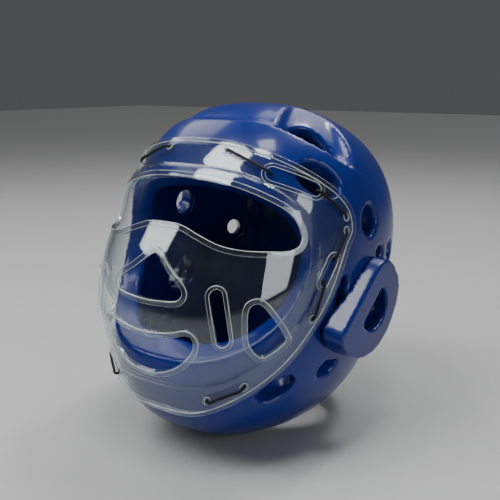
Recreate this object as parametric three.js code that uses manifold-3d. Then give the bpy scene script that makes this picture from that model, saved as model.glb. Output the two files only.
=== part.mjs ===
// Taekwondo headgear: a moulded foam shell with two ear pads and a clear, pierced face shield
// that elastic lashes hold on. Millimetres, +Z up, the face towards -Y, the wearer's left at +X.

import * as THREE from 'three';
import { mergeVertices } from 'three/addons/utils/BufferGeometryUtils.js';
import Module from 'manifold-3d';

const wasm = await Module();
wasm.setup();
const radians = THREE.MathUtils.degToRad;
const clamp = THREE.MathUtils.clamp;

// How it stands: tipped back, on its chin and its nape
const TILT = 16;
const HEAD_HEIGHT = 161;

// Outside of the foam shell, from the middle of the head
const HALF_WIDTH = 111;
const BROW_REACH = 120;
const BACK_REACH = 122;
const CROWN_REACH = 120;
const CHIN_REACH = 174;
const FULLNESS = 2.4;
const JAW_FORWARD = 54;
const NAPE_BACK = 45;
const FOAM_WALL = 18;

// Neck opening, an upright oval through the underside, placed from the middle of the head
const NECK_HALF_WIDTH = 64;
const NECK_HALF_LENGTH = 47;
const NECK_FORWARD = 12;

// Face opening in the foam; across and up are lengths laid over the shell from its front
const FACE = { halfWidth: 106.5, level: -22, rise: 56, drop: 72.5, fullness: 2.4 };

// Holes in the foam on the wearer's left, repeated on the right: places and sizes as shares of the shell's
// half width, depths as shares of twice its wall, and turns in degrees
const HOLE_SIDES = 10;
const FOAM_HOLES = [
  { across: 0.968, up: 0.432, width: 0.378, height: 0.216, depth: 1, turn: -9 },
  { across: 1.559, up: 0.252, width: 0.225, height: 0.225, depth: 1, turn: 0 },
  { across: 1.811, up: 0.018, width: 0.153, height: 0.153, depth: 0.31, turn: 0 },
  { across: 2.054, up: 0.063, width: 0.18, height: 0.18, depth: 0.31, turn: 0 },
  { across: 2.333, up: 0.081, width: 0.126, height: 0.135, depth: 1, turn: 0 },
  { across: 1.081, up: -0.937, width: 0.27, height: 0.135, depth: 1, turn: 18 },
];
const FOAM_SLOTS = [
  { across: 1.342, up: -0.333, width: 0.279, height: 0.081, turn: 90 },
  { across: 1.55, up: -0.829, width: 0.216, height: 0.108, turn: 8 },
];

// Scoop behind the brow band: a straight wall along the band, and a floor that rises from it to the back
const SCOOP = { across: 105, up: 77, turn: -13.5, halfLength: 46, width: 58, depth: 13 };
const SCOOP_END = 5;
const SCOOP_RISE = 1.7;
const SCOOP_FADE = 1.15;
const SCOOP_VENT = { halfLength: 29, width: 27 };

// Ear pad, a thick D with its straight edge to the front, turned about the axis through both ears; it stands
// off the shell on a narrower foot
const PAD = { back: -4.5, up: -47.5, turn: 52 };
const PAD_SHAPE = {
  middle: 2, halfLength: 50, front: 22.5, round: 38.5, lean: 7, lowCorner: 9, topCorner: 28,
};
const PAD_STEPS = 12;
const PAD_EDGE = 5;
const PAD_PROUD = 12;
const PAD_THICKNESS = 14.5;
const PAD_SEAT = 0.4;
const FOOT_SHARE = 0.84;
const EAR_HOLE = { middle: 6, halfLength: 21, front: 3, round: 22, lean: 4, lowCorner: 5, topCorner: 5 };
const EAR_HOLE_STEPS = 10;

// Face shield
const SHIELD_THICKNESS = 2.2;
const SHIELD_SEAT = 0.9;
const SHIELD_BULGE = 15.5;
const BULGE_LEVEL = -44;
const BULGE_SPREAD = 55;
const SHIELD_STEP = 2.5;
const SHOULDER = { halfWidth: 116, level: -22, rise: 64, drop: 84, fullness: 2.4 };
const SHOULDER_BLEND = 0.08;
const RIM = { halfWidth: 146, bottom: -126, height: 191 };
const EYES = { halfWidth: 96, bottom: -12, height: 44 };
const NOSE = { halfWidth: 28, bottom: -50, height: 28 };
const MOUTH = { halfWidth: 42, bottom: -98, height: 32 };
const CHEEK = { inner: 71, width: 33, bottom: -76, height: 35 };

// Slots of the shield: across and width and height as shares of the rim's half width, level as on the rim
const SHIELD_SLOTS = [
  { across: 0.377, level: 0.382, width: 0.25, height: 0.06, turn: 113 },
  { across: 0.856, level: 0.563, width: 0.171, height: 0.055, turn: 73 },
  { across: 0.586, level: 0.869, width: 0.301, height: 0.072, turn: -8 },
];

// Elastic lashes on the wearer's left, repeated on the right: each dives through the shield at both ends,
// which are placed as shares of the rim
const CORD_RADIUS = 1.2;
const CORD_CLEARANCE = 1;
const CORD_SIDES = 6;
const EYELET_RADIUS = 2.9;
const EYELET_SIDES = 6;
const LASHES = {
  brow: { from: { across: 0.2055, level: 0.953 }, to: { across: 0.469, level: 0.881 } },
  temple: { from: { across: 0.712, level: 0.856 }, to: { across: 0.918, level: 0.785 } },
  side: { from: { across: 0.9315, level: 0.733 }, to: { across: 0.873, level: 0.61 } },
  cheek: { from: { across: 0.84, level: 0.521 }, to: { across: 0.832, level: 0.382 } },
  chin: { from: { across: 0.596, level: 0.147 }, to: { across: 0.418, level: 0.084 } },
};
const EYELETS = [
  LASHES.brow.from, LASHES.temple.to, LASHES.side.from, LASHES.cheek.to, LASHES.chin.from, LASHES.chin.to,
];

// Facets
const SHELL_FACETS = { around: 40, rows: 20 };
const LINING_FACETS = { around: 26, rows: 13 };
const DOME_RINGS = 5;
const FLANGE_RINGS = 2;
const RIM_POINTS = 50;

// Outlines as shares of the named sizes: side is across, level is up from the bottom
const RIM_SHAPE = [
  { side: 0, level: 1 },
  { side: 0.21, level: 0.99 },
  { side: 0.48, level: 0.955 },
  { side: 0.71, level: 0.909 },
  { side: 0.87, level: 0.866 },
  { side: 0.966, level: 0.809 },
  { side: 1, level: 0.73 },
  { side: 0.973, level: 0.671 },
  { side: 0.93, level: 0.5 },
  { side: 0.884, level: 0.376 },
  { side: 0.78, level: 0.219 },
  { side: 0.616, level: 0.104 },
  { side: 0.384, level: 0.021 },
  { side: 0, level: 0 },
];
const EYES_SHAPE = [
  { side: 0, level: 0.235 },
  { side: 0.15, level: 0.216 },
  { side: 0.29, level: 0.12 },
  { side: 0.458, level: 0.018 },
  { side: 0.604, level: 0 },
  { side: 0.77, level: 0.036 },
  { side: 0.924, level: 0.1 },
  { side: 0.984, level: 0.186 },
  { side: 1, level: 0.318 },
  { side: 0.917, level: 0.61 },
  { side: 0.7, level: 0.8 },
  { side: 0.344, level: 0.96 },
  { side: 0, level: 1 },
];
const NOSE_SHAPE = [
  { side: 0, level: 1 },
  { side: 0.13, level: 0.95 },
  { side: 0.32, level: 0.8 },
  { side: 0.54, level: 0.625 },
  { side: 0.93, level: 0.375 },
  { side: 1, level: 0.26 },
  { side: 0.92, level: 0.12 },
  { side: 0.36, level: 0.02 },
  { side: 0, level: 0 },
];
const MOUTH_SHAPE = [
  { side: 0, level: 0.78 },
  { side: 0.33, level: 0.82 },
  { side: 0.62, level: 0.89 },
  { side: 0.83, level: 0.99 },
  { side: 0.94, level: 0.96 },
  { side: 1, level: 0.84 },
  { side: 0.99, level: 0.67 },
  { side: 0.905, level: 0.477 },
  { side: 0.71, level: 0.243 },
  { side: 0.38, level: 0.058 },
  { side: 0, level: 0 },
];
const CHEEK_SHAPE = [
  { side: 0, level: 0.92 },
  { side: 0.12, level: 1 },
  { side: 0.25, level: 0.957 },
  { side: 0.48, level: 0.786 },
  { side: 0.866, level: 0.443 },
  { side: 1, level: 0.27 },
  { side: 0.67, level: 0.014 },
  { side: 0.55, level: 0 },
  { side: 0.24, level: 0.214 },
  { side: 0.09, level: 0.5 },
];

// The radius on which across and up are laid as arcs
const ARC_RADIUS = (HALF_WIDTH + BROW_REACH) / 2;

// Distance from the middle of the head to the shell's outside, grown on every side
function reach(direction, grow) {
  const along = direction.y < 0 ? BROW_REACH : BACK_REACH;
  const tall = direction.z < 0 ? CHIN_REACH : CROWN_REACH;
  const sum = Math.abs(direction.x / (HALF_WIDTH + grow)) ** FULLNESS
    + Math.abs(direction.y / (along + grow)) ** FULLNESS
    + Math.abs(direction.z / (tall + grow)) ** FULLNESS;
  return sum ** (-1 / FULLNESS);
}

// Carries the jaw forward and the nape back, the more the lower a point lies
function settle(point) {
  const low = Math.max(-point.z / CHIN_REACH, 0) ** 2;
  point.y -= JAW_FORWARD * low * Math.max(0.5 - 0.5 * point.y / BROW_REACH, 0);
  point.y += NAPE_BACK * low * clamp(point.y / BACK_REACH, 0, 1) ** 2;
  return point;
}

// A point over the shell: across and up are arcs from its front, grow and extra lift it off
function overShell(across, up, grow = 0, extra = 0) {
  const turn = across / ARC_RADIUS;
  const rise = up / ARC_RADIUS;
  const level = Math.cos(rise);
  const direction = new THREE.Vector3(level * Math.sin(turn), -level * Math.cos(turn), Math.sin(rise));
  return settle(direction.multiplyScalar(reach(direction, grow) + extra));
}

// How far out a place lies in an oval: 0 at its middle, 1 on its edge
function ovalShare(oval, across, up) {
  const tall = up > oval.level ? oval.rise : oval.drop;
  const [sideways, upward] = [Math.abs(across / oval.halfWidth), Math.abs((up - oval.level) / tall)];
  const sum = sideways ** oval.fullness + upward ** oval.fullness;
  return sum ** (1 / oval.fullness);
}

// Lift of the shield over the flange that lies on the foam: the step at its shoulder, then the muzzle's bulge
function shieldLift(across, up) {
  const share = ovalShare(SHOULDER, across, up);
  const step = THREE.MathUtils.smoothstep(1 + SHOULDER_BLEND / 2 - share, 0, SHOULDER_BLEND);
  const crown = Math.exp(-(((up - BULGE_LEVEL) / BULGE_SPREAD) ** 2));
  return SHIELD_STEP * step + SHIELD_BULGE * crown * clamp(1 - share ** 3, 0, 1);
}

function shieldPoint(across, up, height) {
  return overShell(across, up, SHIELD_SEAT + height, shieldLift(across, up));
}

// Closed bodies
function solidOf(geometry) {
  const bare = geometry.clone();
  bare.deleteAttribute('normal');
  bare.deleteAttribute('uv');
  const merged = mergeVertices(bare);
  const vertProperties = Float32Array.from(merged.attributes.position.array);
  const triVerts = Uint32Array.from(merged.index.array);
  return new wasm.Manifold(new wasm.Mesh({ numProp: 3, vertProperties, triVerts }));
}

function solidFrom(points, faces) {
  const vertProperties = Float32Array.from(points.flatMap((point) => point.toArray()));
  const triVerts = Uint32Array.from(faces.flat());
  return new wasm.Manifold(new wasm.Mesh({ numProp: 3, vertProperties, triVerts }));
}

function geometryOf(solid) {
  const { vertProperties, triVerts } = solid.getMesh();
  const geometry = new THREE.BufferGeometry();
  geometry.setAttribute('position', new THREE.BufferAttribute(Float32Array.from(vertProperties), 3));
  geometry.setIndex(new THREE.BufferAttribute(Uint32Array.from(triVerts), 1));
  geometry.computeVertexNormals();
  return geometry;
}

function mirrored(solid) {
  const { vertProperties, triVerts } = solid.getMesh();
  const places = Float32Array.from(vertProperties, (value, place) => (place % 3 === 0 ? -value : value));
  const faces = Uint32Array.from(triVerts).reverse();
  return new wasm.Manifold(new wasm.Mesh({ numProp: 3, vertProperties: places, triVerts: faces }));
}

function bothSides(solid) {
  return solid.add(mirrored(solid));
}

function joined(solids) {
  return solids.reduce((sum, solid) => sum.add(solid));
}

// The shell's outer form as a closed ball, grown on every side
function shellForm(grow, facets) {
  const ball = new THREE.SphereGeometry(1, facets.around, facets.rows);
  ball.rotateX(Math.PI / 2);
  ball.deleteAttribute('normal');
  ball.deleteAttribute('uv');
  const merged = mergeVertices(ball);
  const places = merged.attributes.position;
  for (let index = 0; index < places.count; index += 1) {
    const direction = new THREE.Vector3().fromBufferAttribute(places, index).normalize();
    const point = settle(direction.multiplyScalar(reach(direction, grow)));
    places.setXYZ(index, point.x, point.y, point.z);
  }
  return solidOf(merged);
}

// Outlines are lists of [across, up], anticlockwise as seen from outside
function ovalOutline(oval, count) {
  return Array.from({ length: count }, (_, index) => {
    const angle = 2 * Math.PI * index / count;
    const edge = ovalShare(oval, Math.cos(angle), oval.level + Math.sin(angle));
    return [Math.cos(angle) / edge, oval.level + Math.sin(angle) / edge];
  });
}

function turned(points, place) {
  const [cosine, sine] = [Math.cos(radians(place.turn)), Math.sin(radians(place.turn))];
  return points.map(([x, y]) => [place.across + x * cosine - y * sine, place.up + x * sine + y * cosine]);
}

// Shares of the shell's half width as lengths on the shell
function onFoam(row) {
  const [across, up, width, height] = ['across', 'up', 'width', 'height'].map((key) => row[key] * HALF_WIDTH);
  return { ...row, across, up, width, height };
}

// Shares of the rim as lengths on the shield
function onRim(row) {
  const [across, width, height] = ['across', 'width', 'height'].map((key) => (row[key] ?? 0) * RIM.halfWidth);
  return { turn: 0, ...row, across, width, height, up: RIM.bottom + row.level * RIM.height };
}

function roundOutline(hole, sides) {
  const points = Array.from({ length: sides }, (_, index) => {
    const angle = 2 * Math.PI * (index + 0.5) / sides;
    return [hole.width / 2 * Math.cos(angle), hole.height / 2 * Math.sin(angle)];
  });
  return turned(points, hole);
}

function slotOutline(slot) {
  const radius = slot.height / 2;
  const half = slot.width / 2 - radius;
  const endSteps = 3;
  const points = [1, -1].flatMap((end) => Array.from({ length: endSteps + 1 }, (_, index) => {
    const angle = Math.PI * (index / endSteps - 0.5);
    return [end * (half + radius * Math.cos(angle)), end * radius * Math.sin(angle)];
  }));
  return turned(points, slot);
}

function smoothOutline(points, count) {
  const corners = points.map(([x, y]) => new THREE.Vector3(x, y, 0));
  const curve = new THREE.CatmullRomCurve3(corners, true, 'centripetal');
  return curve.getPoints(count).slice(0, count).map((point) => [point.x, point.y]);
}

// A loop that is alike on both sides, from the shares of its left half
function symmetricOutline(shape, size, count) {
  const left = shape.map(({ side, level }) => [side * size.halfWidth, size.bottom + level * size.height]);
  const right = left.slice(1, -1).reverse().map(([across, up]) => [-across, up]);
  const loop = smoothOutline([...left, ...right], count);
  const area = loop.reduce((sum, [x, y], index) => {
    const [nextX, nextY] = loop[(index + 1) % loop.length];
    return sum + x * nextY - nextX * y;
  }, 0);
  return area > 0 ? loop : loop.reverse();
}

// Rings between a middle and an outline, as shares of the way, a list for each point of the outline
function evenRings(outline, rings) {
  return outline.map(() => Array.from({ length: rings }, (_, ring) => (ring + 1) / rings));
}

// A closed body between two layers over an outline that can be seen whole from its middle
function layeredBody(outline, middle, ways, lower, upper) {
  const count = outline.length;
  const rings = ways[0].length;
  const points = [];
  for (const layer of [lower, upper]) {
    points.push(layer(middle[0], middle[1]));
    for (let ring = 0; ring < rings; ring += 1) {
      outline.forEach(([across, up], index) => {
        const share = ways[index][ring];
        points.push(layer(middle[0] + (across - middle[0]) * share, middle[1] + (up - middle[1]) * share));
      });
    }
  }
  const layerSize = 1 + rings * count;
  const faces = [];
  for (let index = 0; index < count; index += 1) {
    const next = (index + 1) % count;
    faces.push([layerSize, layerSize + 1 + index, layerSize + 1 + next]);
    faces.push([0, 1 + next, 1 + index]);
    for (let ring = 0; ring < rings - 1; ring += 1) {
      const [near, far] = [1 + ring * count, 1 + (ring + 1) * count];
      faces.push([layerSize + near + index, layerSize + far + index, layerSize + far + next]);
      faces.push([layerSize + near + index, layerSize + far + next, layerSize + near + next]);
      faces.push([near + index, far + next, far + index]);
      faces.push([near + index, near + next, far + next]);
    }
    const edge = 1 + (rings - 1) * count;
    faces.push([edge + index, edge + next, layerSize + edge + next]);
    faces.push([edge + index, layerSize + edge + next, layerSize + edge + index]);
  }
  return solidFrom(points, faces);
}

function middleOf(outline) {
  const sum = outline.reduce(([x, y], point) => [x + point[0], y + point[1]], [0, 0]);
  return sum.map((value) => value / outline.length);
}

// A plug that cuts straight towards the middle of the head
function plug(outline, deep, proud, middle = middleOf(outline), rings = 3) {
  const layer = (offset) => (across, up) => overShell(across, up, 0, offset);
  return layeredBody(outline, middle, evenRings(outline, rings), layer(-deep), layer(proud));
}

// The way from the headgear as it stands to the upright head, and back
const rest = new THREE.Group();
rest.rotation.x = -radians(TILT);
rest.position.z = HEAD_HEIGHT;
rest.updateMatrix();
const upright = rest.matrix.clone().invert();

// Ear pad and ear hole: a D whose straight edge is set forward of its middle
function dShape(size, steps) {
  const { middle, halfLength, front, round, lean, lowCorner, topCorner } = size;
  const [low, top] = [middle - halfLength, middle + halfLength];
  const shape = new THREE.Shape();
  shape.moveTo(low, front - lowCorner);
  for (let step = 1; step <= steps; step += 1) {
    const angle = Math.PI * (1 - step / steps);
    const shoulder = front - (topCorner * (1 + Math.cos(angle)) + lowCorner * (1 - Math.cos(angle))) / 2;
    const along = middle + halfLength * Math.cos(angle) + lean * Math.sin(angle);
    shape.lineTo(along, shoulder - (round + shoulder) * Math.sin(angle));
  }
  shape.quadraticCurveTo(top, front, top - topCorner, front);
  shape.lineTo(low + lowCorner, front);
  shape.quadraticCurveTo(low, front, low, front - lowCorner);
  return shape;
}

function earBody(shape, from, to, edge, curveSegments) {
  const bevel = { bevelEnabled: edge > 0, bevelThickness: edge, bevelSize: edge, bevelOffset: -edge };
  const depth = to - from - edge;
  const geometry = new THREE.ExtrudeGeometry(shape, { depth, curveSegments, bevelSegments: 2, ...bevel });
  const turn = radians(PAD.turn);
  const along = new THREE.Vector3(0, Math.cos(turn), Math.sin(turn));
  const ahead = new THREE.Vector3(0, -Math.sin(turn), Math.cos(turn));
  const place = new THREE.Matrix4().makeBasis(along, ahead, new THREE.Vector3(1, 0, 0));
  geometry.applyMatrix4(place.setPosition(from, PAD.back, PAD.up));
  return solidOf(geometry);
}

function scaledShape(size, share) {
  return Object.fromEntries(Object.entries(size).map(([name, value]) => [name, value * share]));
}

const padFace = HALF_WIDTH + PAD_PROUD;
const padRoot = HALF_WIDTH / 2;
const earHole = earBody(dShape(EAR_HOLE, EAR_HOLE_STEPS), padRoot - FOAM_WALL, padFace + FOAM_WALL, 0, 4);

function earPad() {
  const padBack = padFace - PAD_THICKNESS;
  const footPlan = dShape(scaledShape(PAD_SHAPE, FOOT_SHARE), PAD_STEPS);
  const block = earBody(dShape(PAD_SHAPE, PAD_STEPS), padBack, padFace, PAD_EDGE, 5);
  const foot = earBody(footPlan, padRoot, padBack + PAD_EDGE, 0, 4);
  return block.add(foot).subtract(shellForm(PAD_SEAT, SHELL_FACETS)).subtract(earHole);
}

// The scoop's plan and its depth, by lengths along the wall and behind it
function scoopCutter() {
  const { halfLength, width, depth, across, up } = SCOOP;
  const turn = radians(SCOOP.turn);
  const floor = (a, u) => {
    const along = (a - across) * Math.cos(turn) + (u - up) * Math.sin(turn);
    const behind = (u - up) * Math.cos(turn) - (a - across) * Math.sin(turn);
    const share = Math.abs(along / halfLength) ** SCOOP_END + (Math.max(behind, 0) / width) ** SCOOP_RISE;
    return overShell(a, u, 0, -depth * Math.max(1 - share, 0) ** SCOOP_FADE);
  };
  const steps = 12;
  const back = Array.from({ length: steps + 1 }, (_, index) => {
    const along = Math.cos(Math.PI * index / steps);
    return [along * halfLength, (1 - Math.abs(along) ** SCOOP_END) ** (1 / SCOOP_RISE) * width];
  });
  const wall = [-0.5, 0, 0.5].map((share) => [share * halfLength, 0]);
  const plan = turned([...back, ...wall], SCOOP);
  const middle = turned([[0, width / 3]], SCOOP)[0];
  const dish = layeredBody(plan, middle, evenRings(plan, 4), floor, (a, u) => overShell(a, u, 0, depth));
  const crescent = Array.from({ length: 9 }, (_, index) => {
    const angle = Math.PI * index / 8;
    return [SCOOP_VENT.halfLength * Math.cos(angle), SCOOP_VENT.width * Math.sin(angle)];
  });
  return dish.add(plug(turned(crescent, SCOOP), 2 * FOAM_WALL, 0));
}

function neckCutter() {
  const tall = CHIN_REACH;
  const oval = new THREE.CylinderGeometry(1, 1, tall, 32);
  oval.rotateX(Math.PI / 2);
  oval.scale(NECK_HALF_WIDTH, NECK_HALF_LENGTH, 1);
  oval.translate(0, -NECK_FORWARD, FOAM_WALL + CHIN_REACH / 6 - tall / 2);
  const ground = new THREE.BoxGeometry(4 * HALF_WIDTH, 4 * BACK_REACH, tall);
  ground.translate(0, 0, -tall / 2);
  return solidOf(oval.applyMatrix4(upright)).add(solidOf(ground.applyMatrix4(upright)));
}

function foamShell() {
  const [deep, proud] = [2 * FOAM_WALL, FOAM_WALL];
  const holes = FOAM_HOLES.map((hole) => {
    return plug(roundOutline(onFoam(hole), HOLE_SIDES), deep * hole.depth, proud);
  });
  const slots = FOAM_SLOTS.map((slot) => plug(slotOutline(onFoam(slot)), deep, proud));
  const sides = bothSides(joined([...holes, ...slots, scoopCutter(), earHole]));
  const face = plug(ovalOutline(FACE, 36), 3 * FOAM_WALL, 2 * FOAM_WALL, [0, FACE.level], 6);
  const wall = shellForm(0, SHELL_FACETS).subtract(shellForm(-FOAM_WALL, LINING_FACETS));
  return wall.subtract(face).subtract(neckCutter()).subtract(sides);
}

function faceShield() {
  const outline = symmetricOutline(RIM_SHAPE, RIM, RIM_POINTS);
  const ways = outline.map(([across, up]) => {
    const share = ovalShare(SHOULDER, across, up);
    const [inner, outer] = [(1 - SHOULDER_BLEND / 2) / share, (1 + SHOULDER_BLEND / 2) / share];
    const dome = Array.from({ length: DOME_RINGS }, (_, ring) => inner * (ring + 1) / DOME_RINGS);
    const step = (1 - outer) / FLANGE_RINGS;
    const flange = Array.from({ length: FLANGE_RINGS + 1 }, (_, ring) => outer + ring * step);
    return [...dome, ...flange];
  });
  const sheet = layeredBody(outline, [0, SHOULDER.level], ways,
    (across, up) => shieldPoint(across, up, 0),
    (across, up) => shieldPoint(across, up, SHIELD_THICKNESS));
  const [deep, proud] = [FOAM_WALL / 2, FOAM_WALL + SHIELD_BULGE];
  const opening = (shape, size, count, rings) => {
    const middle = [0, size.bottom + size.height / 2];
    return plug(symmetricOutline(shape, size, count), deep, proud, middle, rings);
  };
  const eyes = opening(EYES_SHAPE, EYES, 32, 6);
  const nose = plug(symmetricOutline(NOSE_SHAPE, NOSE, 16), deep, proud);
  const mouth = opening(MOUTH_SHAPE, MOUTH, 20, 3);
  const cheekPoints = CHEEK_SHAPE.map(({ side, level }) => {
    return [CHEEK.inner + side * CHEEK.width, CHEEK.bottom + level * CHEEK.height];
  });
  const cheek = plug(smoothOutline(cheekPoints, 14).reverse(), deep, proud);
  const slots = SHIELD_SLOTS.map((slot) => plug(slotOutline(onRim(slot)), deep, proud));
  const eyelets = EYELETS.map((eyelet) => {
    const size = 2 * EYELET_RADIUS;
    const ring = roundOutline({ ...onRim(eyelet), width: size, height: size }, EYELET_SIDES);
    return plug(ring, deep, proud, middleOf(ring), 1);
  });
  const sides = bothSides(joined([cheek, ...slots, ...eyelets]));
  return sheet.subtract(sides).subtract(joined([eyes, nose, mouth]));
}

// An elastic lash: down through the shield at each end, and over it between
function lash(ends) {
  const [from, to] = [ends.from, ends.to].map((end) => [onRim(end).across, onRim(end).up]);
  const over = SHIELD_THICKNESS + CORD_CLEARANCE + CORD_RADIUS;
  const span = Math.hypot(to[0] - from[0], to[1] - from[1]);
  const bend = 1.5 * EYELET_RADIUS / span;
  const mouth = SHIELD_THICKNESS + CORD_CLEARANCE;
  const stations = [
    { share: 0, height: CORD_CLEARANCE },
    { share: 0, height: mouth },
    { share: bend, height: over },
    { share: 0.5, height: over + CORD_CLEARANCE },
    { share: 1 - bend, height: over },
    { share: 1, height: mouth },
    { share: 1, height: CORD_CLEARANCE },
  ];
  const route = stations.map(({ share, height }) => {
    const [across, up] = [from[0] + (to[0] - from[0]) * share, from[1] + (to[1] - from[1]) * share];
    const lift = height > SHIELD_THICKNESS ? SHIELD_SEAT + shieldLift(across, up) : 0;
    return overShell(across, up, height, lift);
  });
  const ring = Array.from({ length: CORD_SIDES }, (_, index) => {
    const angle = 2 * Math.PI * index / CORD_SIDES;
    return new THREE.Vector2(CORD_RADIUS * Math.cos(angle), CORD_RADIUS * Math.sin(angle));
  });
  const path = new THREE.CatmullRomCurve3(route, false, 'centripetal');
  const section = new THREE.Shape(ring);
  return solidOf(new THREE.ExtrudeGeometry(section, { steps: 7, bevelEnabled: false, extrudePath: path }));
}

// Finishes
const foamFinish = { color: 0x0b2f9e, roughness: 0.25, metalness: 0 };
const clearFinish = { color: 0xe6eef2, roughness: 0.05, metalness: 0, transparent: true, opacity: 0.35 };
const cordFinish = { color: 0x121212, roughness: 0.8, metalness: 0 };

function piece(name, solid, finish) {
  const mesh = new THREE.Mesh(geometryOf(solid), new THREE.MeshStandardMaterial(finish));
  mesh.name = name;
  rest.add(mesh);
}

function pair(name, solid, finish) {
  piece(`${name}_left`, solid, finish);
  piece(`${name}_right`, mirrored(solid), finish);
}

piece('foam_shell', foamShell(), foamFinish);
pair('ear_pad', earPad(), foamFinish);
piece('face_shield', faceShield(), clearFinish);
Object.entries(LASHES).forEach(([name, ends]) => pair(`lash_${name}`, lash(ends), cordFinish));

// The origin lies under the middle of the whole, on the ground
const headgear = new THREE.Group();
headgear.add(rest);
headgear.updateMatrixWorld(true);
const box = new THREE.Box3().setFromObject(headgear, true);
rest.position.y -= (box.min.y + box.max.y) / 2;

export default headgear;
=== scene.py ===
# Taekwondo headgear: the finished look of its foam shell, ear pads, clear shield and elastic lashes

import math

import bpy
import numpy as np
from mathutils import Matrix, Vector


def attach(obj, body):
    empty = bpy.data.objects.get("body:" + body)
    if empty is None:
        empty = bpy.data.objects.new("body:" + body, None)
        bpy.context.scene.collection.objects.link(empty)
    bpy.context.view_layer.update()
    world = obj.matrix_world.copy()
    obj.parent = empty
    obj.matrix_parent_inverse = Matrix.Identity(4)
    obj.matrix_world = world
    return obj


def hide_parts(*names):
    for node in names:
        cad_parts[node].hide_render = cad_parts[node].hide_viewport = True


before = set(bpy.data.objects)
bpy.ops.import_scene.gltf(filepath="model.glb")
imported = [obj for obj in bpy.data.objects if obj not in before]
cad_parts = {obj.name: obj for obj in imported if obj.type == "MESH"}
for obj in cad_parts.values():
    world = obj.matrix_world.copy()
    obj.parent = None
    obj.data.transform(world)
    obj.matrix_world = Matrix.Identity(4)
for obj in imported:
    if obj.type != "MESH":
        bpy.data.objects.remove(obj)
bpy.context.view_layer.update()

# Lengths below are millimetres; Blender's are metres
MM = 0.001

# How the headgear stands: tipped back, on its chin and its nape
TILT = math.radians(16)
HEAD_HEIGHT = 161
HEAD_BACK = 16.56

# Outside of the foam shell, from the middle of the head
HALF_WIDTH = 111
BROW_REACH = 120
BACK_REACH = 122
CROWN_REACH = 120
CHIN_REACH = 174
FULLNESS = 2.4
JAW_FORWARD = 54
NAPE_BACK = 45
FOAM_WALL = 18
ARC_RADIUS = (HALF_WIDTH + BROW_REACH) / 2

# Openings of the foam, laid over the shell: across and up from its front
FACE = dict(half_width=106.5, level=-22, rise=56, drop=72.5, fullness=2.4)
FOAM_HOLES = [
    dict(across=107.5, up=48, width=42, height=24, turn=-9, deep=36, flare=1.05),
    dict(across=173, up=28, width=25, height=25, turn=0, deep=36, flare=1.3),
    dict(across=201, up=2, width=17, height=17, turn=0, deep=11, flare=0.8),
    dict(across=228, up=7, width=20, height=20, turn=0, deep=11, flare=0.8),
    dict(across=259, up=9, width=14, height=15, turn=0, deep=36, flare=1.3),
    dict(across=120, up=-104, width=30, height=15, turn=18, deep=36, flare=1.3),
]
FOAM_SLOTS = [
    dict(across=149, up=-37, length=31, width=9, turn=90),
    dict(across=172, up=-92, length=24, width=12, turn=8),
]
NECK = dict(half_width=64, half_length=47, forward=12, low=-60, high=47)

# Scoop in each side of the crown: a wall at its foot, a floor that rises behind it, a vent at the wall
SCOOP = dict(across=105, up=77, turn=-13.5, half_length=46, width=58, depth=13,
             end=5, rise=1.7, fade=1.15)
SCOOP_VENT = dict(half_length=29, width=27, flare=1.7)

# Upper edge of the brow band, where the crown panel behind it lies lower
BAND_EDGE = dict(
    across=[0, 19, 55, 75, 94, 112, 128, 138, 158],
    up=[92, 91.7, 89.4, 83.3, 77, 74.3, 70.7, 68.6, 64.5],
)
BAND_STEP = 3.6
BAND_FOOT = 3
BAND_FADE = 26
BAND_SIDE = dict(loss=0.7, start=55, length=20, close=150, close_length=30)

# Ear pad
PAD = dict(back=-4.5, up=-47.5, turn=math.radians(52))
PAD_SHAPE = dict(middle=2, half_length=50, front=22.5, round=38.5, lean=7, low_corner=9, top_corner=28)
PAD_FACE = HALF_WIDTH + 12
PAD_THICKNESS = 17
PAD_DRAFT = 5.5
PAD_SEAT = 0.4
FOOT_SHARE = 0.84
EAR_HOLE = dict(middle=6, half_length=21, front=3, round=22, lean=4, low_corner=5, top_corner=5)

# Face shield
SHIELD_THICKNESS = 2.2
SHIELD_SEAT = 0.9
SHIELD_BULGE = 15.5
BULGE_LEVEL = -44
BULGE_SPREAD = 55
SHIELD_STEP = 2.5
SHOULDER = dict(half_width=116, level=-22, rise=64, drop=84, fullness=2.4)
SHOULDER_BLEND = 0.055
SHEET_LEAN = math.radians(38)
RIM = dict(half_width=146, bottom=-126, height=191)
EYES = dict(half_width=96, bottom=-12, height=44)
NOSE = dict(half_width=28, bottom=-50, height=28)
MOUTH = dict(half_width=42, bottom=-98, height=32)
CHEEK = dict(inner=71, width=33, bottom=-76, height=35)
SHIELD_SLOTS = [
    dict(across=55, up=-53, length=36.5, width=8.7, turn=113),
    dict(across=125, up=-18.5, length=25, width=8, turn=73),
    dict(across=85.5, up=40, length=44, width=10.5, turn=-8),
]

# Raised band along every edge of the shield
BEAD_WIDTH = 4.6
BEAD_HEIGHT = 1.1
BEAD_ROUND = 0.7
BEAD_OVERHANG = 0.4
BEAD_SINK = 0.15
SLOT_BEAD_WIDTH = BEAD_WIDTH * 0.75
EYELET_BEAD_WIDTH = 1.6
EYELET_BEAD_HEIGHT = BEAD_HEIGHT * 0.6
EYELET_RADIUS = 2.3

# Lashes
CORD_RADIUS = 1.15
CORD_CLEARANCE = 0.35
CORD_CREST = BEAD_HEIGHT * 0.55
CORD_SEAT = 0.4
CORD_STEPS = 60
CORD_SIDES = 12
CORD_PASSES = 6
LASHES = dict(
    brow=((30, 56), (68.5, 42.3)),
    temple=((104, 37.5), (134, 24)),
    side=((136, 14), (127.5, -9.5)),
    cheek=((122.7, -26.5), (121.5, -53)),
    chin=((87, -98), (61, -110)),
)
EYELETS = [(30, 56), (134, 24), (136, 14), (121.5, -53), (87, -98), (61, -110)]

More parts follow.
